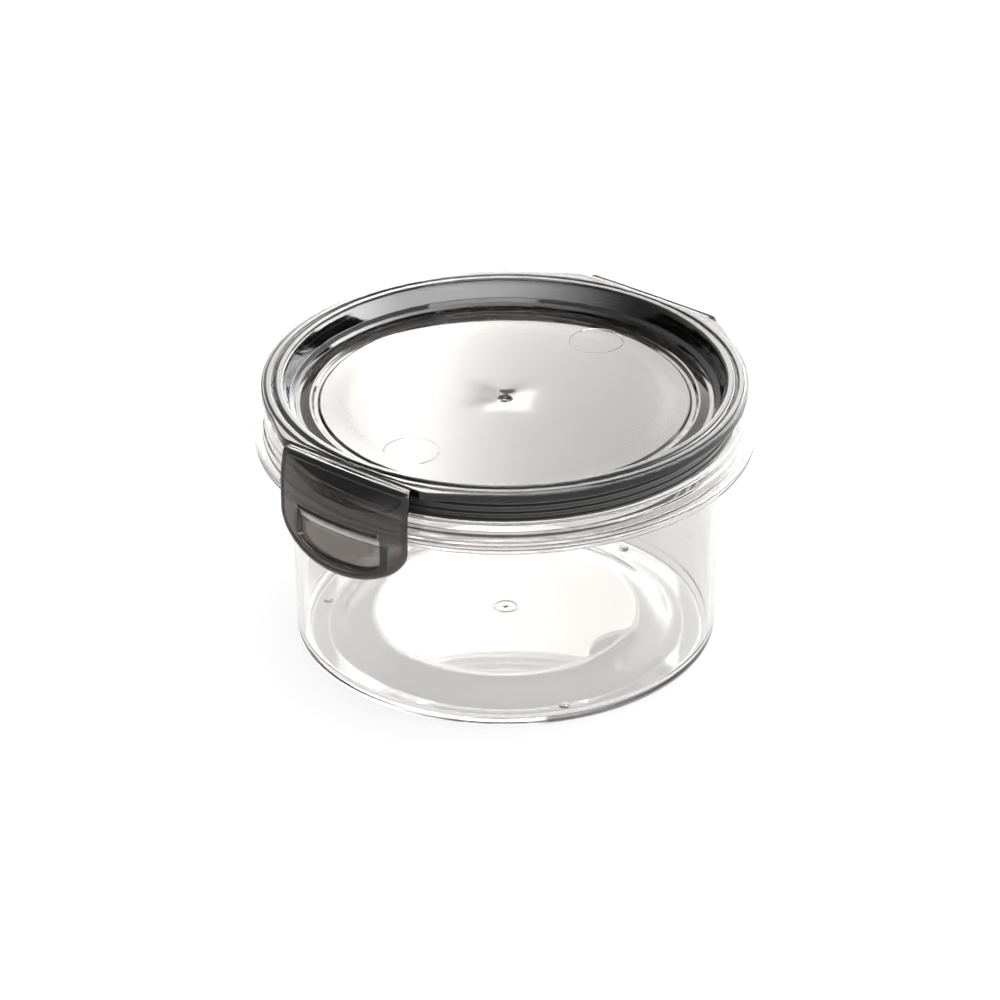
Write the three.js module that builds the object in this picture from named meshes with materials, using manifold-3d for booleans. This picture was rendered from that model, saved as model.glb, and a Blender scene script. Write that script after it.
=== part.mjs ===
// A round food canister with a snap-on lid. A clear bowl carries a smoke-grey lid, a black
// silicone gasket rings the lid's plug, and two clips hang from living hinges on the lid's
// straight edges and hook under the bowl's flange.
// Units are millimetres, +Z is up, and the origin is the centre of the base on the table.
// The clips stand at -Y (front) and +Y (rear), hanging unlatched, just clear of the flange.

import * as THREE from 'three';
import { mergeVertices } from 'three/addons/utils/BufferGeometryUtils.js';
import Module from 'manifold-3d';

const wasm = await Module();
wasm.setup();

// Driving dimensions.
const TURNS = 48; // facets round every turned piece
const CLEARANCE = 0.3; // gap kept between neighbouring pieces
const EDGE = 0.4; // small break on moulded edges

const BOWL_WALL = 1.7;
const BASE_R = 55;
const BASE_CORNER = 2.2;
const WALL_TOP_R = 56;
const FOOT_INNER_R = 44.5;
const FOOT_HEIGHT = 2.9; // how far the middle of the base is raised
const FLANGE_R = 64.8;
const FLANGE_Z = 55.9; // underside of the flange
const FLANGE_HEIGHT = 2.5;
const SHOULDER_Z = 57.6; // ledge inside the mouth
const NECK_INNER_R = 60.3;
const NECK_WALL = 2.3;
const NECK_STEP_Z = 61.2;
const MOUTH_Z = 63.4;

const LID_R = 62.8;
const LID_TOP_Z = 72.5; // crest of the rim
const LIP_TOP_Z = 72.3; // outer lip of the rim, just below the crest
const SKIRT_Z = 69.7; // underside of the rim
const CREST_INNER_R = 57.1;
const CREST_OUTER_R = 59.4;
const PANEL_Z = 66.2; // top of the recessed panel
const PANEL_R = 47.8;
const GROOVE_R = 49.3; // outer edge of the groove round the panel
const GROOVE_DEPTH = 0.45;
const MOAT_Z = 66.1; // flat between the groove and the rim's wall
const MOAT_INNER_R = 50.6;
const MOAT_OUTER_R = 54;
const WALL_FOOT_Z = 67; // the rim's inner wall rises from here
const LID_WALL = 1.5;
const PLUG_OUTER_R = 57.3;
const PLUG_WALL = 1.7;
const PLUG_Z = 62; // lower edge of the plug
const RETAINER_R = 58.2; // lip that keeps the gasket on the plug
const RETAINER_HEIGHT = 0.6;

const CHORD_Y = 60.6; // straight edge of the lid that carries a clip
const LUG_RISE = 2.1; // how far the rim swells out beside a clip
const LUG_INNER_DEG = 19; // the swelling is full up to this angle from the clip's middle
const LUG_OUTER_DEG = 33; // and gone at this angle
const LUG_BOTTOM_Z = 70.2;

const RIB_R = NECK_INNER_R - 0.35; // tips of the gasket's ribs
const RIB_ROOT_R = 59.2;
const RIB_HEIGHT = 1.1;
const RIB_LEVELS = [63.1, 64.9, 66.9, 68.8];
const GASKET_Z = 62.3; // lower edge of the gasket, just inside the bowl's mouth

const HINGE_Y = 61.1;
const HINGE_Z = 71.85;
const WEB_THICK = 0.5;
const WEB_HALF_WIDTH = 19.6;

const CLIP_HALF_WIDTH = 20.7;
const CLIP_THICK = 1.6;
const CLIP_TOP_Z = 71.8;
const CLIP_TOP_Y = HINGE_Y + 0.5; // inner face at the hinge
const CLIP_R = 67.9; // outer face below the neck, concentric with the bowl
const CLIP_ROUND_Z = 61.5; // below this level the clip follows the bowl's curve
const CLIP_SIDE_Z = 55.5; // the straight sides end here
const CLIP_BOTTOM_Z = 44;

const HOOK_TOP_Z = 55.3;
const HOOK_BOTTOM_Z = 46.2;
const HOOK_HALF_WIDTH = 14.2;
const HOOK_PROUD = 1; // how far the hook stands in from the clip's inner face
const POCKET_TOP_Z = 58;
const POCKET_FLOOR_TOP_Z = 54.2;
const POCKET_BOTTOM_Z = 47.3;
const POCKET_HALF_WIDTH = 12.9;
const POCKET_DEPTH = 1.6;

const CLEAR_PLASTIC = { color: 0xe9ecec, roughness: 0.08, metalness: 0 };
const SMOKE_PLASTIC = { color: 0x6d6863, roughness: 0.1, metalness: 0 };
const BLACK_SILICONE = { color: 0x141414, roughness: 0.45, metalness: 0 };

// ---------------------------------------------------------------- helpers

// A point of a turned profile: radius, height.
const at = (r, z) => new THREE.Vector2(r, z);

// Points of a round corner about (r, z), from one angle to another, in degrees.
function corner(r, z, radius, from, to, steps = 3) {
  const points = [];
  for (let i = 0; i <= steps; i += 1) {
    const angle = THREE.MathUtils.degToRad(from + ((to - from) * i) / steps);
    points.push(at(r + radius * Math.cos(angle), z + radius * Math.sin(angle)));
  }
  return points;
}

// Turns a profile about the Z axis. The profile runs anticlockwise, radius to the right.
function turned(profile) {
  return new THREE.LatheGeometry(profile, TURNS).rotateX(Math.PI / 2);
}

function positionsOnly(geometry) {
  const bare = geometry.clone();
  bare.deleteAttribute('normal');
  bare.deleteAttribute('uv');
  return mergeVertices(bare, 1e-4);
}

// A closed geometry as a solid for joining and cutting, without its collapsed triangles.
function solid(geometry) {
  const merged = positionsOnly(geometry);
  const index = merged.index.array;
  const triangles = [];
  for (let i = 0; i < index.length; i += 3) {
    const [a, b, c] = [index[i], index[i + 1], index[i + 2]];
    if (a !== b && b !== c && c !== a) {
      triangles.push(a, b, c);
    }
  }
  return new wasm.Manifold(new wasm.Mesh({
    numProp: 3,
    vertProperties: new Float32Array(merged.attributes.position.array),
    triVerts: new Uint32Array(triangles),
  }));
}

// A solid back as a geometry.
function toGeometry(body) {
  const mesh = body.getMesh();
  const geometry = new THREE.BufferGeometry();
  geometry.setAttribute('position', new THREE.BufferAttribute(mesh.vertProperties, 3));
  geometry.setIndex(new THREE.BufferAttribute(mesh.triVerts, 1));
  geometry.computeVertexNormals();
  return geometry;
}

// Moves every vertex of a geometry to the place that the given function returns.
function reshape(geometry, place) {
  const position = geometry.attributes.position;
  const point = new THREE.Vector3();
  for (let i = 0; i < position.count; i += 1) {
    point.fromBufferAttribute(position, i);
    position.setXYZ(i, ...place(point.x, point.y, point.z));
  }
  return geometry;
}

function named(name, geometry, finish) {
  const mesh = new THREE.Mesh(geometry, new THREE.MeshStandardMaterial(finish));
  mesh.name = name;
  return mesh;
}

// ---------------------------------------------------------------- bowl

function bowlGeometry() {
  const innerBaseR = BASE_R - BOWL_WALL;
  const innerCorner = 2;
  const flangeTop = FLANGE_Z + FLANGE_HEIGHT;
  const neckR = NECK_INNER_R + NECK_WALL;
  const lipR = neckR - 0.5;
  const slope = 7.5; // run of the step between the foot ring and the raised middle
  const inset = 0.4; // the step's upper face sits this much further in
  const floorZ = FOOT_HEIGHT + BOWL_WALL;
  return turned([
    at(0, FOOT_HEIGHT),
    at(FOOT_INNER_R - slope, FOOT_HEIGHT),
    at(FOOT_INNER_R, 0),
    ...corner(BASE_R - BASE_CORNER, BASE_CORNER, BASE_CORNER, -90, 0),
    at(WALL_TOP_R, FLANGE_Z),
    at(FLANGE_R - EDGE, FLANGE_Z),
    at(FLANGE_R, FLANGE_Z + EDGE),
    at(FLANGE_R, flangeTop - EDGE),
    at(FLANGE_R - EDGE, flangeTop),
    at(neckR, flangeTop),
    at(neckR, NECK_STEP_Z - EDGE),
    at(lipR, NECK_STEP_Z),
    ...corner(lipR - 0.6, MOUTH_Z - 0.6, 0.6, 0, 90, 2),
    at(NECK_INNER_R + EDGE, MOUTH_Z),
    at(NECK_INNER_R, MOUTH_Z - EDGE),
    at(NECK_INNER_R, SHOULDER_Z),
    at(WALL_TOP_R - BOWL_WALL, SHOULDER_Z),
    at(innerBaseR, BOWL_WALL + innerCorner),
    ...corner(innerBaseR - innerCorner, BOWL_WALL + innerCorner, innerCorner, -30, -90, 2),
    at(FOOT_INNER_R - inset, BOWL_WALL),
    at(FOOT_INNER_R - slope - inset, floorZ),
    at(0, floorZ),
  ]);
}

// ---------------------------------------------------------------- lid

// How far the rim swells out at an angle measured from the middle of the nearest clip.
function lugSwell(degrees) {
  const fade = THREE.MathUtils.smoothstep(degrees, LUG_INNER_DEG, LUG_OUTER_DEG);
  return LUG_RISE * (1 - fade);
}

// The plate that carries both pairs of lugs: a ring whose outer edge swells beside the clips.
function lugPlate() {
  const steps = 2 * TURNS;
  const edge = [];
  for (let i = 0; i < steps; i += 1) {
    const angle = (2 * Math.PI * i) / steps;
    const fromY = THREE.MathUtils.radToDeg(Math.acos(Math.abs(Math.sin(angle))));
    const r = LID_R - EDGE + lugSwell(fromY);
    edge.push(at(r * Math.cos(angle), r * Math.sin(angle)));
  }
  const outline = new THREE.Shape(edge);
  const hole = new THREE.Path();
  hole.absarc(0, 0, CREST_OUTER_R - 0.7, 0, 2 * Math.PI, true);
  outline.holes.push(hole);
  const depth = LIP_TOP_Z - 0.1 - LUG_BOTTOM_Z;
  const plate = new THREE.ExtrudeGeometry(outline, { depth, bevelEnabled: false, curveSegments: TURNS });
  return plate.translate(0, 0, LUG_BOTTOM_Z);
}

function lidShell() {
  const plugInnerR = PLUG_OUTER_R - PLUG_WALL;
  const retainerTop = PLUG_Z + RETAINER_HEIGHT;
  return turned([
    at(0, PANEL_Z - LID_WALL),
    at(plugInnerR, PANEL_Z - LID_WALL),
    at(plugInnerR, PLUG_Z),
    at(RETAINER_R - EDGE, PLUG_Z),
    at(RETAINER_R, PLUG_Z + EDGE),
    at(RETAINER_R, retainerTop),
    at(PLUG_OUTER_R, retainerTop),
    at(PLUG_OUTER_R, SKIRT_Z),
    at(LID_R - EDGE, SKIRT_Z),
    at(LID_R, SKIRT_Z + EDGE),
    at(LID_R, LIP_TOP_Z - EDGE),
    at(LID_R - EDGE, LIP_TOP_Z),
    at(CREST_OUTER_R + 1, LIP_TOP_Z),
    at(CREST_OUTER_R + 0.5, LIP_TOP_Z - 0.4),
    at(CREST_OUTER_R, LIP_TOP_Z - 0.2),
    at(CREST_OUTER_R - 0.5, LID_TOP_Z),
    at(CREST_INNER_R + 0.5, LID_TOP_Z),
    at(CREST_INNER_R - 0.2, LID_TOP_Z - 0.5),
    at(CREST_INNER_R - 1.5, WALL_FOOT_Z + 0.6),
    at(MOAT_OUTER_R + 0.4, WALL_FOOT_Z),
    at(MOAT_OUTER_R, MOAT_Z),
    at(MOAT_INNER_R, MOAT_Z),
    at(GROOVE_R + 0.5, PANEL_Z),
    at(GROOVE_R, PANEL_Z - GROOVE_DEPTH),
    at(PANEL_R + 0.4, PANEL_Z - GROOVE_DEPTH),
    at(PANEL_R, PANEL_Z),
    at(6, PANEL_Z),
    at(1.6, PANEL_Z - 0.5),
    at(0, PANEL_Z - 0.5),
  ]);
}

function lidGeometry() {
  const cutDepth = 10;
  const cutter = (side) => {
    const box = new THREE.BoxGeometry(2 * LID_R, cutDepth, 2 * cutDepth);
    return solid(box.translate(0, side * (CHORD_Y + cutDepth / 2), LID_TOP_Z));
  };
  const shell = solid(lidShell()).add(solid(lugPlate()));
  return toGeometry(shell.subtract(cutter(-1)).subtract(cutter(1)));
}

// ---------------------------------------------------------------- gasket

function gasketGeometry() {
  const innerR = PLUG_OUTER_R + CLEARANCE;
  const notchR = RETAINER_R + CLEARANCE;
  const notchTop = PLUG_Z + RETAINER_HEIGHT + CLEARANCE;
  const top = SKIRT_Z - CLEARANCE;
  const half = RIB_HEIGHT / 2;
  const ribs = RIB_LEVELS.flatMap((z) => [
    at(RIB_ROOT_R, z - half),
    at(RIB_R, z - half / 2),
    at(RIB_R, z + half / 2),
    at(RIB_ROOT_R, z + half),
  ]);
  return turned([
    at(notchR, GASKET_Z),
    at(RIB_ROOT_R, GASKET_Z),
    ...ribs,
    at(RIB_ROOT_R, top),
    at(innerR, top),
    at(innerR, notchTop),
    at(notchR, notchTop),
    at(notchR, GASKET_Z),
  ]);
}

// ---------------------------------------------------------------- clips

// Distance of the clip's outer face from the XZ plane. It is straight along the hinge
// and runs out to a cylinder about the bowl's axis lower down.
function clipFace(x, z) {
  const straight = CLIP_TOP_Y + CLIP_THICK;
  const round = Math.sqrt(CLIP_R ** 2 - x ** 2);
  const blend = Math.sin((Math.PI / 2) * THREE.MathUtils.clamp((CLIP_TOP_Z - z) / (CLIP_TOP_Z - CLIP_ROUND_Z), 0, 1));
  return THREE.MathUtils.lerp(straight, round, blend);
}

// A slab that follows the clip's face. u, v and w run from -0.5 to 0.5 across, through and up;
// depths are measured inwards from the outer face.
function slab(counts, halfWidth, depths, levels) {
  const box = new THREE.BoxGeometry(1, 1, 1, counts[0], counts[1], counts[2]);
  return reshape(box, (u, v, w) => {
    const x = halfWidth * Math.sin(Math.PI * u);
    const [low, high] = levels(x, v);
    const z = THREE.MathUtils.lerp(low, high, w + 0.5);
    const depth = THREE.MathUtils.lerp(depths[1], depths[0], 0.5 - v);
    return [x, depth - clipFace(x, z), z];
  });
}

// Lower edge of a rounded shape: straight sides down to sideZ, then half an ellipse.
function roundedBottom(x, halfWidth, sideZ, bottomZ) {
  const reach = Math.sqrt(Math.max(0, 1 - (x / halfWidth) ** 2));
  return sideZ - (sideZ - bottomZ) * reach;
}

function clipGeometry() {
  const panel = slab([18, 1, 12], CLIP_HALF_WIDTH, [0, CLIP_THICK], (x) => [
    roundedBottom(x, CLIP_HALF_WIDTH, CLIP_SIDE_Z, CLIP_BOTTOM_Z),
    CLIP_TOP_Z,
  ]);
  const hook = slab([10, 1, 3], HOOK_HALF_WIDTH, [CLIP_THICK / 2, CLIP_THICK + HOOK_PROUD], (x) => [
    roundedBottom(x, HOOK_HALF_WIDTH, HOOK_BOTTOM_Z + 3, HOOK_BOTTOM_Z),
    HOOK_TOP_Z,
  ]);
  const roofDrop = POCKET_TOP_Z - POCKET_FLOOR_TOP_Z;
  const pocketProud = 0.6; // how far the pocket's cutter starts outside the face
  const pocket = slab([10, 1, 3], POCKET_HALF_WIDTH, [-pocketProud, POCKET_DEPTH], (x, v) => [
    roundedBottom(x, POCKET_HALF_WIDTH, POCKET_BOTTOM_Z + 3, POCKET_BOTTOM_Z),
    v > 0 ? POCKET_FLOOR_TOP_Z : POCKET_TOP_Z + (roofDrop * pocketProud) / POCKET_DEPTH,
  ]);
  return toGeometry(solid(panel).add(solid(hook)).subtract(solid(pocket)));
}

// The living hinge: a thin strip between the lid's straight edge and the clip's top.
function hingeGeometry() {
  const near = CHORD_Y + CLEARANCE;
  const far = CLIP_TOP_Y - CLEARANCE;
  const strip = new THREE.BoxGeometry(2 * WEB_HALF_WIDTH, far - near, WEB_THICK);
  return strip.translate(0, -(near + far) / 2, HINGE_Z);
}

// ---------------------------------------------------------------- assembly

const canister = new THREE.Group();
canister.add(named('bowl', bowlGeometry(), CLEAR_PLASTIC));
canister.add(named('lid', lidGeometry(), SMOKE_PLASTIC));
canister.add(named('lid_gasket', gasketGeometry(), BLACK_SILICONE));

const clip = clipGeometry();
const hinge = hingeGeometry();
for (const [side, turn] of [['front', 0], ['rear', Math.PI]]) {
  const arm = new THREE.Group();
  arm.rotation.z = turn;
  arm.add(named(`${side}_clip`, clip, SMOKE_PLASTIC));
  arm.add(named(`${side}_living_hinge`, hinge, SMOKE_PLASTIC));
  canister.add(arm);
}

export default canister;
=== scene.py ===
"""The finished look of the round food canister: a clear bowl, a smoke-grey lid with a black
silicone gasket, and two clips on living hinges. Lengths here are millimetres; MM scales them."""

import math

import bpy
import numpy as np
from mathutils import Matrix, Vector

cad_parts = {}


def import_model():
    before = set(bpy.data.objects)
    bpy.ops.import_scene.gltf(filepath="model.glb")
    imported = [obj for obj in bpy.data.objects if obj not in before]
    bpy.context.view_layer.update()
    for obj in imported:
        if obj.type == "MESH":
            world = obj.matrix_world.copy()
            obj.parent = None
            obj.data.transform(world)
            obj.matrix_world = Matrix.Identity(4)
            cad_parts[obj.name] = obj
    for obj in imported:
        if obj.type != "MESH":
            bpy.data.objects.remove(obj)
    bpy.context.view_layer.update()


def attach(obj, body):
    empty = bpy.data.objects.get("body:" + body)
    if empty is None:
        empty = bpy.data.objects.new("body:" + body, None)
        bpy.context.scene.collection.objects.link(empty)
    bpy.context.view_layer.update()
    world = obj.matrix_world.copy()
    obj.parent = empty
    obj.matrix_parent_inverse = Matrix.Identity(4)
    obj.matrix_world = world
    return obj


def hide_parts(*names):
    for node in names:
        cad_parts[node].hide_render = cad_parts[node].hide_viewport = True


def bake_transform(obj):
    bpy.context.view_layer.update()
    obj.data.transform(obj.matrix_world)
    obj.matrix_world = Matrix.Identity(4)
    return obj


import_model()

MM = 0.001
SEGMENTS = 288  # steps round every turned piece

# Bowl
FOOT_INNER_R = 44.5
STEP_RUN = 7.5  # run of the slope between the foot ring and the raised middle
FOOT_HEIGHT = 2.9
BASE_R = 55.0
WALL_TOP_R = 56.0
BOWL_WALL = 1.7
FLANGE_R = 64.8
FLANGE_Z = 55.9
FLANGE_TOP_Z = 58.4
SHOULDER_Z = 57.6
NECK_INNER_R = 60.3
NECK_OUTER_R = 62.6
NECK_STEP_Z = 61.2
MOUTH_Z = 63.4

# Lid
LID_R = 62.8
LIP_TOP_Z = 72.3
LUG_TOP_Z = 72.0
CREST_Z = 72.5
SKIRT_Z = 69.7
PANEL_Z = 66.2
PANEL_R = 47.8
MOAT_Z = 66.1
GROOVE_DEPTH = 0.45
WALL_FOOT_Z = 67.0
PANEL_WALL = 1.5
PLUG_R = 57.3
PLUG_WALL = 1.7
PLUG_Z = 62.0
RETAINER_R = 58.2  # lip that keeps the gasket on the plug
RETAINER_HEIGHT = 0.6
GROOVE_R = 49.3  # outer edge of the groove round the panel
GROOVE_INNER_R = 48.3
CHORD_Y = 60.6
LUG_RISE = 2.1
LUG_INNER_DEG = 19.0
LUG_OUTER_DEG = 33.0
RIM_SOLID_R = 62.4  # the rim moves out or in as a whole beyond this radius
RIM_STILL_R = 59.9  # and not at all inside this one, behind the straight edges
LUG_STILL_R = 62.05  # or inside this one, at the lugs
CROWN_RISE = 0.25  # how far the middle of the panel stands above its edge
CROWN_R = 47.0
SINK_DEPTH = 0.5
SINK_R = 5.8
PIT_DEPTH = 0.5  # the pit left by the gate, with a nib in its middle
PIT_R = 1.5
NIB_RISE = 0.3
NIB_R = 0.7

# Gasket
RIB_LEVELS = (63.1, 64.9, 66.9, 68.8)

# Clips
CLIP_HALF_WIDTH = 20.7
CLIP_THICK = 1.6
CLIP_TOP_Z = 71.8
CLIP_TOP_Y = 63.2  # outer face at the hinge
CLIP_R = 67.9
CLIP_ROUND_Z = 61.5
CLIP_SIDE_Z = 55.5
CLIP_BOTTOM_Z = 44.0
CLIP_EDGE = 0.7  # reach of the half-round edge along the clip's outline
FIELD_DEPTH = 0.3  # the clip's face lies this far behind its raised border
POCKET_HALF_WIDTH = 13.7
POCKET_TOP_Z = 58.0
POCKET_BOTTOM_Z = 46.7
POCKET_DEPTH = 1.45
POCKET_SLOPE = 3.8  # height over which the pocket's roof slopes in
BROW_Z = 58.4
BROW_RISE = 0.45
HOOK_HALF_WIDTH = 15.1
HOOK_TOP_Z = 55.4
HOOK_BOTTOM_Z = 45.5
HOOK_PROUD = 1.0
ROUND_SIDE_Z = 51.0  # the pocket's and the hook's straight sides end here
ROUND_POWER = 2.3  # 2 rounds them as an ellipse, and more is squarer

# Living hinges
WEB_HALF_WIDTH = 19.6
WEB_THICK = 0.5
WEB_INNER_Y = 60.3
WEB_OUTER_Y = 62.1
WEB_THIN_Y = 61.1  # the web is thinnest here, over the hinge's axis
WEB_TOP_Z = 71.55


# ---------------------------------------------------------------- meshes

def smoothstep(low, high, value):
    t = np.clip((value - low) / (high - low), 0.0, 1.0)
    return t * t * (3.0 - 2.0 * t)


def fillet(path, closed=False):
    """Rounds a path of (r, z, radius). Returns rows of r, z and the unit tangent."""
    rows = []
    count = len(path)
    for i, (r, z, radius) in enumerate(path):
        here = Vector((r, z))
        before = Vector(path[i - 1][:2])
        after = Vector(path[(i + 1) % count][:2])
        if not closed and i in (0, count - 1):
            way = (after - here) if i == 0 else (here - before)
            way.normalize()
            rows.append((r, z, way.x, way.y))
            continue
        into = (here - before).normalized()
        out = (after - here).normalized()
        turn = math.atan2(into.x * out.y - into.y * out.x, into.dot(out))
        if abs(turn) < 0.01 or radius <= 0:
            way = (into + out).normalized()
            rows.append((r, z, way.x, way.y))
            continue
        room = 0.48 * min((here - before).length, (after - here).length)
        cut = min(radius * math.tan(abs(turn) / 2), room)
        radius = cut / math.tan(abs(turn) / 2)
        side = 1.0 if turn > 0 else -1.0
        start = here - into * cut
        centre = start + Vector((-into.y, into.x)) * side * radius
        steps = max(3, math.ceil(abs(turn) / math.radians(13)), round(cut))
        for k in range(steps + 1):
            a = turn * k / steps
            way = Vector((into.x * math.cos(a) - into.y * math.sin(a),
                          into.x * math.sin(a) + into.y * math.cos(a)))
            spot = centre - Vector((-way.y, way.x)) * side * radius
            rows.append((spot.x, spot.y, way.x, way.y))
    return rows


def make_object(name, verts, faces, normals):
    mesh = bpy.data.meshes.new(name)
    mesh.from_pydata((np.asarray(verts) * MM).tolist(), [], faces)
    mesh.polygons.foreach_set("use_smooth", [True] * len(mesh.polygons))
    mesh.update()
    mesh.normals_split_custom_set_from_vertices(np.asarray(normals).tolist())
    obj = bpy.data.objects.new(name, mesh)
    bpy.context.scene.collection.objects.link(obj)
    return obj


def unit(v):
    length = np.linalg.norm(v, axis=-1, keepdims=True)
    return v / np.maximum(length, 1e-12)


def turned(name, rows, warp=None, angles=None, closed=False):
    """A turned piece from rows of r, z, tangent r, tangent z; warp moves its points."""
    if angles is None:
        angles = np.arange(SEGMENTS) * (2 * math.pi / SEGMENTS)
    rows = np.array(rows, float)
    count, around = len(rows), len(angles)
    cos, sin = np.cos(angles), np.sin(angles)
    r = rows[:, 0][:, None]
    base = np.stack([r * cos, r * sin, np.broadcast_to(rows[:, 1][:, None], (count, around))], -1)
    along = np.stack([rows[:, 2][:, None] * cos, rows[:, 2][:, None] * sin,
                      np.broadcast_to(rows[:, 3][:, None], (count, around))], -1)
    about = np.stack([-sin, cos, np.zeros(around)], -1)[None].repeat(count, 0)
    if warp:
        h = 0.01
        along = warp(base + along * h) - warp(base - along * h)
        about = warp(base + about * h) - warp(base - about * h)
        base = warp(base)
    normal = unit(np.cross(about, along))
    index = np.arange(count * around).reshape(count, around)
    verts = base.reshape(-1, 3)
    normals = normal.reshape(-1, 3)
    poles = [i for i in (0, count - 1) if not closed and rows[i, 0] < 1e-6]
    for i in poles:
        verts = np.vstack([verts, base[i].mean(0)[None]])
        normals = np.vstack([normals, unit(normal[i].mean(0))[None]])
        index[i, :] = len(verts) - 1
    faces = []
    last = count if closed else count - 1
    for i in range(last):
        a, b = index[i], index[(i + 1) % count]
        for j in range(around):
            k = (j + 1) % around
            quad = (a[j], a[k], b[k], b[j])
            loop = [int(v) for n, v in enumerate(quad) if v not in quad[:n]]
            if len(loop) > 2:
                faces.append(loop)
    used = np.zeros(len(verts), bool)
    for loop in faces:
        used[loop] = True
    renumber = np.cumsum(used) - 1
    faces = [[int(renumber[v]) for v in loop] for loop in faces]
    return make_object(name, verts[used], faces, normals[used])


# ---------------------------------------------------------------- materials

def blank_material(name):
    material = bpy.data.materials.new(name)
    material.use_nodes = True
    tree = material.node_tree
    tree.nodes.clear()
    output = tree.nodes.new("ShaderNodeOutputMaterial")
    return material, tree, output


def noise_of(tree, scale, detail=3.0, rough=0.5, stretch=(1, 1, 1)):
    """Noise in the object's own metres."""
    place = tree.nodes.new("ShaderNodeTexCoord")
    mapping = tree.nodes.new("ShaderNodeMapping")
    mapping.inputs["Scale"].default_value = stretch
    noise = tree.nodes.new("ShaderNodeTexNoise")
    noise.inputs["Scale"].default_value = scale
    noise.inputs["Detail"].default_value = detail
    noise.inputs["Roughness"].default_value = rough
    tree.links.new(place.outputs["Object"], mapping.inputs["Vector"])
    tree.links.new(mapping.outputs["Vector"], noise.inputs["Vector"])
    return noise.outputs["Fac"]


def ranged(tree, source, low, high, to_low, to_high):
    node = tree.nodes.new("ShaderNodeMapRange")
    node.inputs["From Min"].default_value = low
    node.inputs["From Max"].default_value = high
    node.inputs["To Min"].default_value = to_low
    node.inputs["To Max"].default_value = to_high
    tree.links.new(source, node.inputs["Value"])
    return node.outputs["Result"]


def bumped(tree, height, strength, distance):
    node = tree.nodes.new("ShaderNodeBump")
    node.inputs["Strength"].default_value = strength
    node.inputs["Distance"].default_value = distance
    tree.links.new(height, node.inputs["Height"])
    return node.outputs["Normal"]


def clear_moulding(name, colour, shade, rough, ior, wave, absorb=None):
    """Glass-like moulded plastic that lets lamps through."""
    material, tree, output = blank_material(name)
    shader = tree.nodes.new("ShaderNodeBsdfPrincipled")
    shader.inputs["Base Color"].default_value = (*colour, 1)
    shader.inputs["Transmission Weight"].default_value = 1.0
    shader.inputs["IOR"].default_value = ior
    flow = noise_of(tree, 55.0, 2.0, 0.5, (1, 1, 0.5))
    haze = noise_of(tree, 240.0, 4.0, 0.6)
    tree.links.new(ranged(tree, haze, 0.35, 0.7, rough[0], rough[1]), shader.inputs["Roughness"])
    tree.links.new(bumped(tree, flow, wave, 0.0012), shader.inputs["Normal"])
    lamps = tree.nodes.new("ShaderNodeBsdfTransparent")
    lamps.inputs["Color"].default_value = (*shade, 1)
    path = tree.nodes.new("ShaderNodeLightPath")
    mix = tree.nodes.new("ShaderNodeMixShader")
    tree.links.new(path.outputs["Is Shadow Ray"], mix.inputs["Fac"])
    tree.links.new(shader.outputs["BSDF"], mix.inputs[1])
    tree.links.new(lamps.outputs["BSDF"], mix.inputs[2])
    tree.links.new(mix.outputs["Shader"], output.inputs["Surface"])
    if absorb:
        volume = tree.nodes.new("ShaderNodeVolumeAbsorption")
        volume.inputs["Color"].default_value = (*absorb[0], 1)
        volume.inputs["Density"].default_value = absorb[1]
        tree.links.new(volume.outputs["Volume"], output.inputs["Volume"])
    return material


def silicone(name):
    material, tree, output = blank_material(name)
    shader = tree.nodes.new("ShaderNodeBsdfPrincipled")
    shader.inputs["Base Color"].default_value = (0.012, 0.0115, 0.011, 1)
    shader.inputs["IOR"].default_value = 1.43
    bloom = noise_of(tree, 160.0, 5.0, 0.6)
    grain = noise_of(tree, 2200.0, 3.0, 0.6)
    tree.links.new(ranged(tree, bloom, 0.3, 0.7, 0.3, 0.48), shader.inputs["Roughness"])
    tree.links.new(bumped(tree, grain, 0.12, 0.0001), shader.inputs["Normal"])
    tree.links.new(shader.outputs["BSDF"], output.inputs["Surface"])
    return material


# The grey in this base colour is partly the plastic's own faint tint and partly painted shade: it
# darkens the glowing floor seen through the bowl, standing in for the shadow the canister casts
# beneath it.
CLEAR = clear_moulding("clear_moulded_plastic", (0.835, 0.828, 0.818), (0.93, 0.93, 0.93),
                       (0.0, 0.05), 1.49, 0.02, absorb=((0.3, 0.24, 0.3), 6.0))


def smoke_moulding(name, density):
    return clear_moulding(name, (0.98, 0.975, 0.97), (0.45, 0.43, 0.42), (0.03, 0.08), 1.5,
                          0.015, absorb=((0.42, 0.385, 0.36), density))


SMOKE = smoke_moulding("smoke_moulded_plastic", 2600.0)
SMOKE_CLIP = smoke_moulding("smoke_clip_plastic", 2900.0)
RUBBER = silicone("black_silicone_rubber")


def finished(obj, material, slot, body, *nodes):
    obj.data.materials.append(material)
    if body:
        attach(obj, body)
    if nodes:
        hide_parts(*nodes)
    return obj


# ---------------------------------------------------------------- bowl

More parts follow.
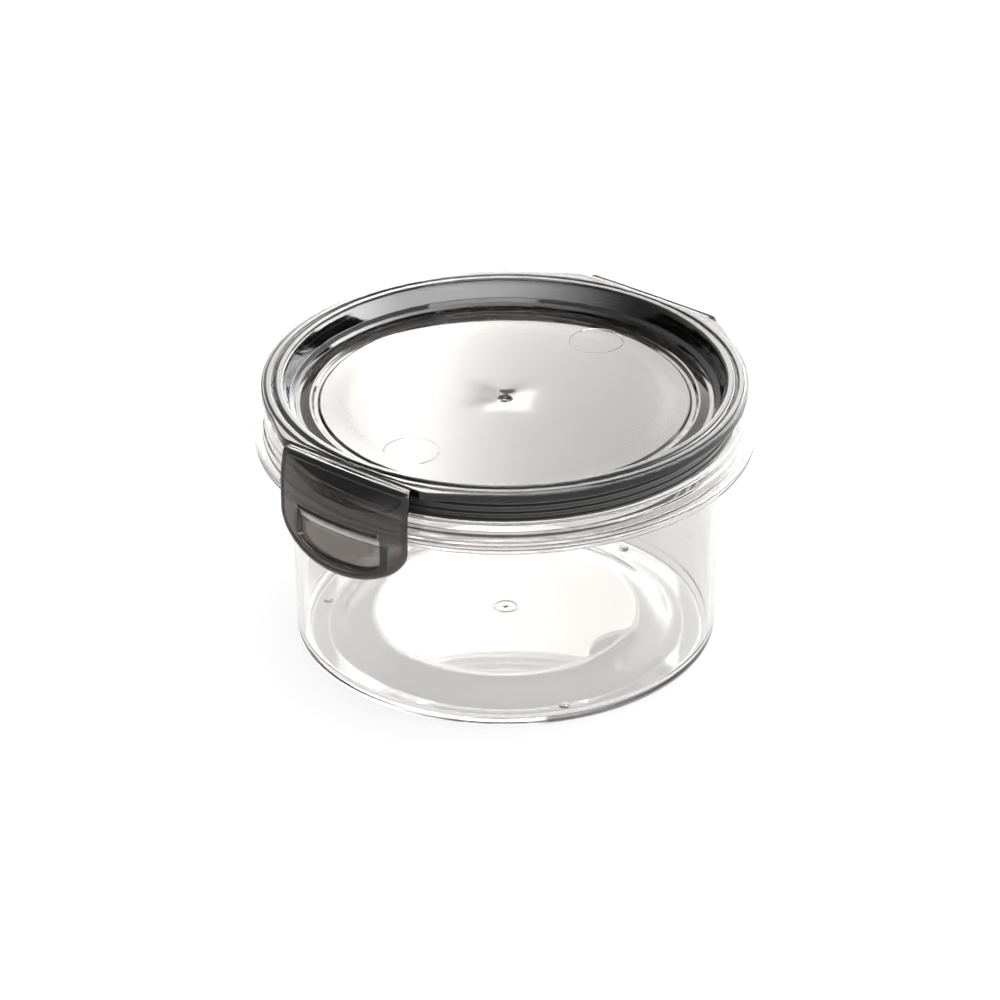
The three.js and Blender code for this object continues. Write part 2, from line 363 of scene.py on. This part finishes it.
def bowl_rows():
    inner_base = BASE_R - BOWL_WALL
    floor = FOOT_HEIGHT + BOWL_WALL
    lip_r = NECK_OUTER_R - 0.5
    return fillet([
        (0, FOOT_HEIGHT, 0),
        (FOOT_INNER_R - STEP_RUN, FOOT_HEIGHT, 17.0),
        (FOOT_INNER_R, 0, 12.0),
        (BASE_R, 0, 2.2),
        (WALL_TOP_R, FLANGE_Z, 0.8),
        (FLANGE_R, FLANGE_Z, 0.8),
        (FLANGE_R, FLANGE_TOP_Z, 0.8),
        (NECK_OUTER_R, FLANGE_TOP_Z, 0.5),
        (NECK_OUTER_R, NECK_STEP_Z - 0.4, 0.3),
        (lip_r, NECK_STEP_Z, 0.3),
        (lip_r, MOUTH_Z, 0.6),
        (NECK_INNER_R, MOUTH_Z, 0.6),
        (NECK_INNER_R, SHOULDER_Z, 0.4),
        (WALL_TOP_R - BOWL_WALL, SHOULDER_Z, 0.8),
        (inner_base, BOWL_WALL, 2.4),
        (FOOT_INNER_R - 0.4, BOWL_WALL, 17.0),
        (FOOT_INNER_R - STEP_RUN - 0.4, floor, 17.0),
        (0, floor, 0),
    ])


finished(turned("bowl_shell", bowl_rows()), CLEAR, "clear_plastic", "bowl", "bowl")


# ---------------------------------------------------------------- lid

def rim_edge(x, y):
    """Radius of the lid's outer edge in the direction of (x, y), and the plain circle's."""
    off = np.arctan2(np.abs(x), np.abs(y))  # angle from the middle of the nearest clip
    swell = LUG_RISE * (1 - smoothstep(LUG_INNER_DEG, LUG_OUTER_DEG, np.degrees(off)))
    lug = LID_R - 0.3 * (swell / LUG_RISE) + swell
    chord = CHORD_Y / np.maximum(np.cos(off), 0.2)
    soft = 0.8
    gap = np.maximum(soft - np.abs(chord - lug), 0) / soft
    return np.minimum(chord, lug) - gap * gap * soft / 4


def rim_warp(p):
    """Stretches the rim out to the lugs, and squeezes it in behind the straight edges."""
    x, y, z = p[..., 0], p[..., 1], p[..., 2]
    r = np.maximum(np.hypot(x, y), 1e-9)
    grow = rim_edge(x, y) - LID_R
    fixed = np.where(grow < 0, RIM_STILL_R, LUG_STILL_R)
    part = np.clip((r - fixed) / (RIM_SOLID_R - fixed), 0, 1)
    moved = r + grow * part
    # The panel: a slight crown, a star-shaped sink and the pit left by the gate.
    way = np.arctan2(y, x)
    top = smoothstep(65.0, 65.6, z)
    inside = 1 - smoothstep(40.0, CROWN_R, r)
    crown = CROWN_RISE * (1 - (r / CROWN_R) ** 2) * inside
    star = 1 + 0.14 * np.cos(4 * way + 0.9) * smoothstep(1.0, 5.0, r)
    sink = SINK_DEPTH * np.exp(-((r / (SINK_R * star)) ** 2))
    pit = PIT_DEPTH * np.exp(-((r / PIT_R) ** 4)) - NIB_RISE * np.exp(-((r / NIB_R) ** 4))
    lift = np.where(r < 48, top * (crown - sink - pit), 0)
    scale = moved / r
    return np.stack([x * scale, y * scale, z + lift], -1)


def lid_rows():
    rows = fillet([
        (0, PANEL_Z - PANEL_WALL, 0),
        (PLUG_R - PLUG_WALL, PANEL_Z - PANEL_WALL, 0.6),
        (PLUG_R - PLUG_WALL, PLUG_Z, 0.5),
        (RETAINER_R, PLUG_Z, 0.3),
        (RETAINER_R, PLUG_Z + RETAINER_HEIGHT, 0.2),
        (PLUG_R, PLUG_Z + RETAINER_HEIGHT, 0.2),
        (PLUG_R, SKIRT_Z, 0.4),
        (LID_R, SKIRT_Z, 0.35),
        (LID_R, LUG_TOP_Z, 0.35),
        (62.1, LUG_TOP_Z, 0.2),
        (61.7, LIP_TOP_Z, 0.9),
        (60.3, LIP_TOP_Z, 0.9),
        (59.95, LIP_TOP_Z - 0.5, 0.2),
        (59.5, LIP_TOP_Z - 0.4, 0.2),
        (59.1, CREST_Z, 0.9),
        (57.3, CREST_Z, 1.0),
        (56.85, CREST_Z - 1.1, 0.8),
        (55.6, WALL_FOOT_Z + 0.6, 0.4),
        (54.4, WALL_FOOT_Z, 0.15),
        (54.0, MOAT_Z, 0.12),
        (52.9, MOAT_Z, 0.3),
        (50.5, MOAT_Z + 0.35, 0.4),
        (49.9, MOAT_Z + 0.35, 0.3),
        (GROOVE_R, PANEL_Z - GROOVE_DEPTH, 0.3),
        (GROOVE_INNER_R, PANEL_Z - GROOVE_DEPTH, 0.3),
        (PANEL_R, PANEL_Z, 0.5),
        (0, PANEL_Z, 0),
    ])
    edge = len(rows) - 2
    fine = [rows[-2]]
    for r in np.concatenate([np.arange(46.0, 12.0, -1.0), np.arange(12.0, 3.0, -0.4),
                             np.arange(3.0, 0.05, -0.12)]):
        fine.append((float(r), PANEL_Z, -1.0, 0.0))
    return rows[:edge] + fine + [rows[-1]]


def rim_angles():
    """Even steps round the lid, with finer ones across the corners beside the clips."""
    even = list(np.arange(0, 360, 1.25))
    corner = math.degrees(math.acos(CHORD_Y / 64.6))
    for middle in (90, 270):
        for side in (-1, 1):
            even += list(np.arange(middle + side * corner - 3, middle + side * corner + 3, 0.2))
    marks = sorted(set(round(a, 3) for a in even))
    kept = [marks[0]]
    for a in marks[1:]:
        if a - kept[-1] > 0.12:
            kept.append(a)
    return np.radians(np.array(kept))


finished(turned("lid_shell", lid_rows(), rim_warp, rim_angles()), SMOKE, "smoke_plastic",
         "lid", "lid")


# ---------------------------------------------------------------- gasket

def gasket_rows():
    inner, notch, root, tip = PLUG_R + 0.15, 58.35, 59.15, 59.95
    low, step, high = PLUG_Z + 0.3, PLUG_Z + 0.75, SKIRT_Z - 0.15
    path = [(notch, low, 0.2), (root, low, 0.2)]
    for z in RIB_LEVELS:
        path += [(root, z - 0.55, 0.25), (tip, z - 0.2, 0.3), (tip, z + 0.2, 0.3),
                 (root, z + 0.55, 0.25)]
    path += [(root, high, 0.15), (inner, high, 0.2), (inner, step, 0.1), (notch, step, 0.1)]
    return fillet(path, closed=True)


finished(turned("gasket_ring", gasket_rows(), closed=True), RUBBER, "black_silicone",
         "lid", "lid_gasket")


# ---------------------------------------------------------------- clips

def clip_face(x, z):
    """Distance of the clip's outer face from the canister's middle plane."""
    t = np.clip((CLIP_TOP_Z - z) / (CLIP_TOP_Z - CLIP_ROUND_Z), 0, 1)
    arc = np.sqrt(CLIP_R ** 2 - x ** 2)
    return CLIP_TOP_Y + (arc - CLIP_TOP_Y) * np.sin(math.pi / 2 * t)


def below(x, half, side_z, bottom_z):
    reach = np.sqrt(np.clip(1 - (x / half) ** 2, 0, 1))
    return side_z - (side_z - bottom_z) * reach


def from_edge(x, z, half, top_z, side_z, bottom_z, power=2.0):
    """How far inside the rounded shape a point is, roughly, in millimetres."""
    b = side_z - bottom_z
    u, v = np.abs(x) / half, np.clip(side_z - z, 0, None) / b
    f = np.maximum((u ** power + v ** power) ** (1 / power), 1e-6)
    slope = np.hypot(u ** (power - 1) / half, v ** (power - 1) / b) / f ** (power - 1)
    low = (1 - f) / np.maximum(slope, 1e-6)
    return low, top_z - z


def outer_relief(x, z):
    """The raised border, the grip pocket and its brow on the clip's outer face."""
    low, high = from_edge(x, z, CLIP_HALF_WIDTH, CLIP_TOP_Z, CLIP_SIDE_Z, CLIP_BOTTOM_Z)
    inset = np.minimum(low, high)
    field = -FIELD_DEPTH * smoothstep(1.2, 1.8, inset)
    side, roof = from_edge(x, z, POCKET_HALF_WIDTH, POCKET_TOP_Z, ROUND_SIDE_Z,
                           POCKET_BOTTOM_Z, ROUND_POWER)
    slope = np.clip(roof / POCKET_SLOPE, 0, 1)
    pocket = smoothstep(0.0, 1.0, side) * (0.25 * smoothstep(0.0, 0.4, roof) + 0.75 * slope)
    wide = smoothstep(-0.6, 0.8, POCKET_HALF_WIDTH - np.abs(x))
    brow = BROW_RISE * np.exp(-((z - BROW_Z) / 0.5) ** 2) * wide
    return field - POCKET_DEPTH * pocket + brow


def inner_relief(x, z):
    """The hook on the clip's inner face that catches under the bowl's flange."""
    side, roof = from_edge(x, z, HOOK_HALF_WIDTH, HOOK_TOP_Z, ROUND_SIDE_Z,
                           HOOK_BOTTOM_Z, ROUND_POWER)
    return HOOK_PROUD * smoothstep(0.0, 0.7, side) * smoothstep(0.0, 0.35, roof)


def clip_mesh(name):
    across, down, bend = 190, 170, 10
    half = CLIP_HALF_WIDTH - CLIP_EDGE
    u = np.linspace(-1, 1, across)
    x = half * np.sin(u * math.pi / 2)
    corner = 0.5
    over = np.clip(np.abs(x) - (half - corner), 0, corner) / corner
    top = CLIP_TOP_Z - CLIP_EDGE - corner * (1 - np.sqrt(1 - over ** 2))
    bottom = below(x, half, CLIP_SIDE_Z, CLIP_BOTTOM_Z + CLIP_EDGE)
    w = np.linspace(0, 1, down)[:, None]
    xs = np.broadcast_to(x, (down, across)).copy()
    zs = top + (bottom - top) * w

    def outer(a, b):
        return np.stack([a, -(clip_face(a, b) + outer_relief(a, b)), b], -1)

    def inner(a, b):
        return np.stack([a, -(clip_face(a, b) - CLIP_THICK - inner_relief(a, b)), b], -1)

    def grown(surface, sign):
        h = 0.02
        right = surface(xs + h, zs) - surface(xs - h, zs)
        up = surface(xs, zs + h) - surface(xs, zs - h)
        return surface(xs, zs), unit(np.cross(right, up)) * sign

    front, front_n = grown(outer, 1.0)
    back, back_n = grown(inner, -1.0)
    ring = [(0, j) for j in range(across)]
    ring += [(i, across - 1) for i in range(1, down)]
    ring += [(down - 1, j) for j in range(across - 2, -1, -1)]
    ring += [(i, 0) for i in range(down - 2, 0, -1)]
    rows = np.array([i for i, _ in ring])
    cols = np.array([j for _, j in ring])
    flat = np.stack([xs[rows, cols], zs[rows, cols]], -1)
    step = np.roll(flat, -1, 0) - np.roll(flat, 1, 0)
    out2 = unit(np.stack([-step[:, 1], step[:, 0]], -1))  # the ring runs clockwise
    h = 0.02
    ahead = clip_face(flat[:, 0] + out2[:, 0] * h, flat[:, 1] + out2[:, 1] * h)
    behind = clip_face(flat[:, 0] - out2[:, 0] * h, flat[:, 1] - out2[:, 1] * h)
    out3 = unit(np.stack([out2[:, 0], -(ahead - behind) / (2 * h), out2[:, 1]], -1))
    a, b = front[rows, cols], back[rows, cols]
    an = front_n[rows, cols]
    verts = [front.reshape(-1, 3), back.reshape(-1, 3)]
    norms = [front_n.reshape(-1, 3), back_n.reshape(-1, 3)]
    size = down * across
    first = rows * across + cols
    levels = [first]
    for k in range(1, bend):
        phi = math.pi * k / bend
        centre, arm = (a + b) / 2, (a - b) / 2
        verts.append(centre + arm * math.cos(phi) + out3 * CLIP_EDGE * math.sin(phi))
        thick = np.linalg.norm(arm, axis=-1, keepdims=True)
        norms.append(unit(unit(arm) * math.cos(phi) / thick + out3 * math.sin(phi) / CLIP_EDGE))
        levels.append(2 * size + (k - 1) * len(ring) + np.arange(len(ring)))
    levels.append(size + first)
    faces = []
    grid = np.arange(size).reshape(down, across)
    for i in range(down - 1):
        for j in range(across - 1):
            c = [int(grid[i, j]), int(grid[i + 1, j]), int(grid[i + 1, j + 1]),
                 int(grid[i, j + 1])]
            faces.append(c)
            faces.append([size + v for v in reversed(c)])
    count = len(ring)
    for upper, lower in zip(levels, levels[1:]):
        for j in range(count):
            k = (j + 1) % count
            faces.append([int(upper[j]), int(upper[k]), int(lower[k]), int(lower[j])])
    return make_object(name, np.vstack(verts), faces, np.vstack(norms))


def hinge_mesh(name):
    """The thin strip that joins the lid's straight edge to the top of the clip."""
    y = np.linspace(WEB_INNER_Y, WEB_OUTER_Y, 13)
    x = np.linspace(-WEB_HALF_WIDTH, WEB_HALF_WIDTH, 41)
    thin = 0.5 * WEB_THICK * (1 - 0.35 * np.exp(-((y - WEB_THIN_Y) / 0.3) ** 2))
    middle = WEB_TOP_Z - 0.1 * (y - WEB_INNER_Y)
    section = [(a, b + t) for a, b, t in zip(y, middle, thin)]
    section += [(a, b - t) for a, b, t in zip(y[::-1], middle[::-1], thin[::-1])]
    verts, faces = [], []
    n = len(section)
    for a in x:
        verts += [(a, -b, c) for b, c in section]
    for i in range(len(x) - 1):
        for j in range(n):
            k = (j + 1) % n
            faces.append([i * n + j, i * n + k, (i + 1) * n + k, (i + 1) * n + j])
    faces.append([j for j in range(n)][::-1])
    faces.append([(len(x) - 1) * n + j for j in range(n)])
    mesh = bpy.data.meshes.new(name)
    mesh.from_pydata((np.array(verts) * MM).tolist(), [], faces)
    mesh.update()
    obj = bpy.data.objects.new(name, mesh)
    bpy.context.scene.collection.objects.link(obj)
    return obj


def turned_round(obj):
    obj.data.transform(Matrix.Rotation(math.pi, 4, "Z"))
    return obj


for side in ("front", "rear"):
    clip = clip_mesh(side + "_clip_shell")
    web = hinge_mesh(side + "_hinge_web")
    if side == "rear":
        turned_round(clip)
        turned_round(web)
    finished(clip, SMOKE_CLIP, "smoke_plastic", side + "_clip", side + "_clip")
    finished(web, SMOKE, "smoke_plastic", None, side + "_living_hinge")
    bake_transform(web)


# ---------------------------------------------------------------- moulding marks

MARK_STEPS = 64
LID_RINGS = ((-0.2, -37.2), (-1.8, 40.4))  # where the ejector rings stand on the panel
RING_R = 7.1
NUB_WAYS = (-151, -33, 87)  # degrees; where the nubs stand in the bowl's channel
NUB_R = 48.3


def mark(name, rows, x, y, material, slot, body, closed=False):
    angles = np.arange(MARK_STEPS) * (2 * math.pi / MARK_STEPS)
    obj = turned(name, rows, None, angles, closed)
    obj.data.transform(Matrix.Translation((x * MM, y * MM, 0)))
    return finished(obj, material, slot, body)


def bead(radius, z, width, height):
    """A low ring, sunk a little into the face it stands on."""
    half = width / 2
    return fillet([(radius - half, z - 0.05, 0.02), (radius + half, z - 0.05, 0.02),
                   (radius + half * 0.5, z + height, 0.1),
                   (radius - half * 0.5, z + height, 0.1)], closed=True)


def dome(z, radius, height):
    rows = [(0, z - 0.1, 0), (radius, z - 0.1, 0.05), (radius, z + 0.15 * height, 0.2)]
    rows += [(radius * 0.86, z + 0.6 * height, 0.4), (radius * 0.5, z + 0.93 * height, 0.5)]
    return fillet(rows + [(0, z + height, 0)])


for i, (x, y) in enumerate(LID_RINGS):
    crown = CROWN_RISE * (1 - (math.hypot(x, y) / CROWN_R) ** 2)
    mark("ejector_ring_%d" % (i + 1), bead(RING_R, PANEL_Z + crown, 0.34, 0.09), x, y, SMOKE,
         "smoke_plastic", "lid", True)
BOWL_FLOOR_Z = FOOT_HEIGHT + BOWL_WALL
mark("gate_ring", bead(3.0, BOWL_FLOOR_Z, 0.7, 0.22), 0, 0, CLEAR, "clear_plastic", "bowl", True)
mark("gate_nub", dome(BOWL_FLOOR_Z, 0.7, 0.35), 0, 0, CLEAR, "clear_plastic", "bowl")
for i, way in enumerate(NUB_WAYS):
    a = math.radians(way)
    mark("channel_nub_%d" % (i + 1), dome(BOWL_WALL, 1.4, 0.7), NUB_R * math.cos(a),
         NUB_R * math.sin(a), CLEAR, "clear_plastic", "bowl")


# ---------------------------------------------------------------- studio

FLOOR_ALBEDO = 0.15
FLOOR_GLOW = 0.75  # the floor's own light, which keeps it white round the canister
LAMP_COLOUR = (1.0, 0.975, 0.95)
STRIP_LEVEL = 12.5
CAMERA_AZIMUTH = 39.3
CAMERA_RANGE = 1.1
CAMERA_HEIGHT = 0.6399
CAMERA_SIDE = -0.0014
CAMERA_PITCH = 28.757
CAMERA_ROLL = -0.272
CAMERA_LENS = 172.94


def floor():
    """A wide pale table top with a rounded outline."""
    rings, around, radius = 24, 96, 2.6
    verts = [(0, 0, 0)]
    for i in range(1, rings + 1):
        r = radius * (i / rings) ** 2
        for j in range(around):
            a = 2 * math.pi * j / around
            verts.append((r * math.cos(a), r * math.sin(a), 0))
    faces = [(0, 1 + j, 1 + (j + 1) % around) for j in range(around)]
    for i in range(rings - 1):
        low, high = 1 + i * around, 1 + (i + 1) * around
        for j in range(around):
            k = (j + 1) % around
            faces.append((low + j, high + j, high + k, low + k))
    mesh = bpy.data.meshes.new("floor")
    mesh.from_pydata(verts, [], faces)
    obj = bpy.data.objects.new("floor", mesh)
    bpy.context.scene.collection.objects.link(obj)
    obj.location.z = -0.0002
    material, tree, output = blank_material("pale_floor")
    shader = tree.nodes.new("ShaderNodeBsdfPrincipled")
    shader.inputs["Base Color"].default_value = (*[FLOOR_ALBEDO] * 3, 1)
    shader.inputs["Roughness"].default_value = 0.9
    shader.inputs["Specular IOR Level"].default_value = 0.1
    shader.inputs["Emission Color"].default_value = (1, 1, 1, 1)
    shader.inputs["Emission Strength"].default_value = FLOOR_GLOW
    tree.links.new(shader.outputs["BSDF"], output.inputs["Surface"])
    mesh.materials.append(material)


def softbox(name, azimuth, elevation, distance, size, level, aim=(0, 0, 0.06), across=None):
    """A rectangular lamp of a set brightness; azimuth 0 stands at -Y and 90 at +X.

    across lists how bright it is at places across its width, from the picture's left."""
    data = bpy.data.lights.new(name, "AREA")
    data.shape = "RECTANGLE"
    data.size, data.size_y = size
    data.energy = level * math.pi * size[0] * size[1]
    data.color = LAMP_COLOUR
    lamp = bpy.data.objects.new(name, data)
    bpy.context.scene.collection.objects.link(lamp)
    a, e = math.radians(azimuth), math.radians(elevation)
    way = Vector((math.sin(a) * math.cos(e), -math.cos(a) * math.cos(e), math.sin(e)))
    lamp.location = Vector(aim) + way * distance
    lamp.rotation_mode = "QUATERNION"
    lamp.rotation_quaternion = (-way).to_track_quat("-Z", "Y")
    lamp.visible_camera = False
    if across:
        data.use_nodes = True
        tree = data.node_tree
        tree.nodes.clear()
        output = tree.nodes.new("ShaderNodeOutputLight")
        glow = tree.nodes.new("ShaderNodeEmission")
        spot = tree.nodes.new("ShaderNodeNewGeometry")
        split = tree.nodes.new("ShaderNodeSeparateXYZ")
        tree.links.new(spot.outputs["Parametric"], split.inputs["Vector"])
        ramp = tree.nodes.new("ShaderNodeValToRGB")
        ramp.color_ramp.interpolation = "B_SPLINE"
        while len(ramp.color_ramp.elements) < len(across):
            ramp.color_ramp.elements.new(0.5)
        for element, (place, bright) in zip(ramp.color_ramp.elements, across):
            element.position = place
            element.color = (bright, bright, bright, 1)
        tree.links.new(ranged(tree, split.outputs["X"], 0, 1, 1, 0), ramp.inputs["Fac"])
        boost = tree.nodes.new("ShaderNodeMath")
        boost.operation = "MULTIPLY"
        tree.links.new(ramp.outputs["Color"], boost.inputs[0])
        tree.links.new(ranged(tree, split.outputs["Y"], 0.2, 0.55, 1.45, 1.0), boost.inputs[1])
        tree.links.new(boost.outputs["Value"], glow.inputs["Strength"])
        tree.links.new(glow.outputs["Emission"], output.inputs["Surface"])
    return lamp


def world():
    """A pale room: bright behind the canister, with a lit strip low down behind the camera."""
    made = bpy.data.worlds.new("studio")
    bpy.context.scene.world = made
    made.use_nodes = True
    tree = made.node_tree
    tree.nodes.clear()
    output = tree.nodes.new("ShaderNodeOutputWorld")
    back = tree.nodes.new("ShaderNodeBackground")
    place = tree.nodes.new("ShaderNodeTexCoord")
    split = tree.nodes.new("ShaderNodeSeparateXYZ")
    tree.links.new(place.outputs["Generated"], split.inputs["Vector"])

    def facing(azimuth):
        dot = tree.nodes.new("ShaderNodeVectorMath")
        dot.operation = "DOT_PRODUCT"
        a = math.radians(azimuth)
        dot.inputs[1].default_value = (math.sin(a), -math.cos(a), 0)
        tree.links.new(place.outputs["Generated"], dot.inputs[0])
        return dot.outputs["Value"]

    def smooth(source, low, high, to_low, to_high):
        result = ranged(tree, source, low, high, to_low, to_high)
        tree.nodes[-1].interpolation_type = "SMOOTHSTEP"
        return result

    def maths(operation, first, second):
        node = tree.nodes.new("ShaderNodeMath")
        node.operation = operation
        for socket, value in zip(node.inputs, (first, second)):
            if isinstance(value, float):
                socket.default_value = value
            else:
                tree.links.new(value, socket)
        return node.outputs["Value"]

    room = smooth(facing(CAMERA_AZIMUTH + 180), -0.6, 0.9, 0.3, 1.3)
    rising = smooth(split.outputs["Z"], -0.02, 0.04, 0.0, 1.0)
    falling = smooth(split.outputs["Z"], 0.2, 0.5, 1.0, 0.1)
    near = smooth(facing(CAMERA_AZIMUTH + 55), -0.7, 0.95, 0.0, STRIP_LEVEL)
    aside = smooth(facing(CAMERA_AZIMUTH + 120), 0.3, 0.95, 0.0, 0.7 * STRIP_LEVEL)
    strip = maths("MULTIPLY", maths("MULTIPLY", rising, falling), maths("ADD", near, aside))
    tree.links.new(maths("ADD", room, strip), back.inputs["Strength"])
    tree.links.new(back.outputs["Background"], output.inputs["Surface"])


def camera():
    data = bpy.data.cameras.new("camera")
    data.sensor_width = 36.0
    data.lens = CAMERA_LENS
    data.clip_end = 20
    made = bpy.data.objects.new("camera", data)
    bpy.context.scene.collection.objects.link(made)
    a, p = math.radians(CAMERA_AZIMUTH), math.radians(CAMERA_PITCH)
    right = Vector((math.cos(a), math.sin(a), 0))
    away = Vector((math.sin(a), -math.cos(a), 0))
    made.location = right * CAMERA_SIDE + away * CAMERA_RANGE + Vector((0, 0, CAMERA_HEIGHT))
    look = -away * math.cos(p) - Vector((0, 0, 1)) * math.sin(p)
    made.rotation_mode = "QUATERNION"
    roll = Matrix.Rotation(math.radians(CAMERA_ROLL), 3, "Z").to_quaternion()
    made.rotation_quaternion = look.to_track_quat("-Z", "Y") @ roll
    bpy.context.scene.camera = made


def look():
    scene = bpy.context.scene
    scene.view_settings.view_transform = "Standard"
    scene.cycles.use_denoising = True
    scene.cycles.max_bounces = 24
    scene.cycles.transmission_bounces = 24
    scene.cycles.transparent_max_bounces = 32
    scene.cycles.glossy_bounces = 12
    scene.cycles.diffuse_bounces = 4
    scene.cycles.caustics_reflective = False
    scene.cycles.caustics_refractive = False


floor()
softbox("back_softbox", CAMERA_AZIMUTH + 179.7, 25, 0.9, (0.25, 0.36), 10.0,
        across=[(0.0, 0.4), (0.06, 0.5), (0.15, 0.66), (0.25, 1.0), (0.31, 1.0), (0.405, 0.67),
                (0.52, 0.49), (0.697, 0.38), (0.8, 0.36), (0.9, 0.65), (1.0, 0.6)])
softbox("top_softbox", CAMERA_AZIMUTH + 20, 87, 0.9, (0.6, 0.6), 5.5)
world()
camera()
look()
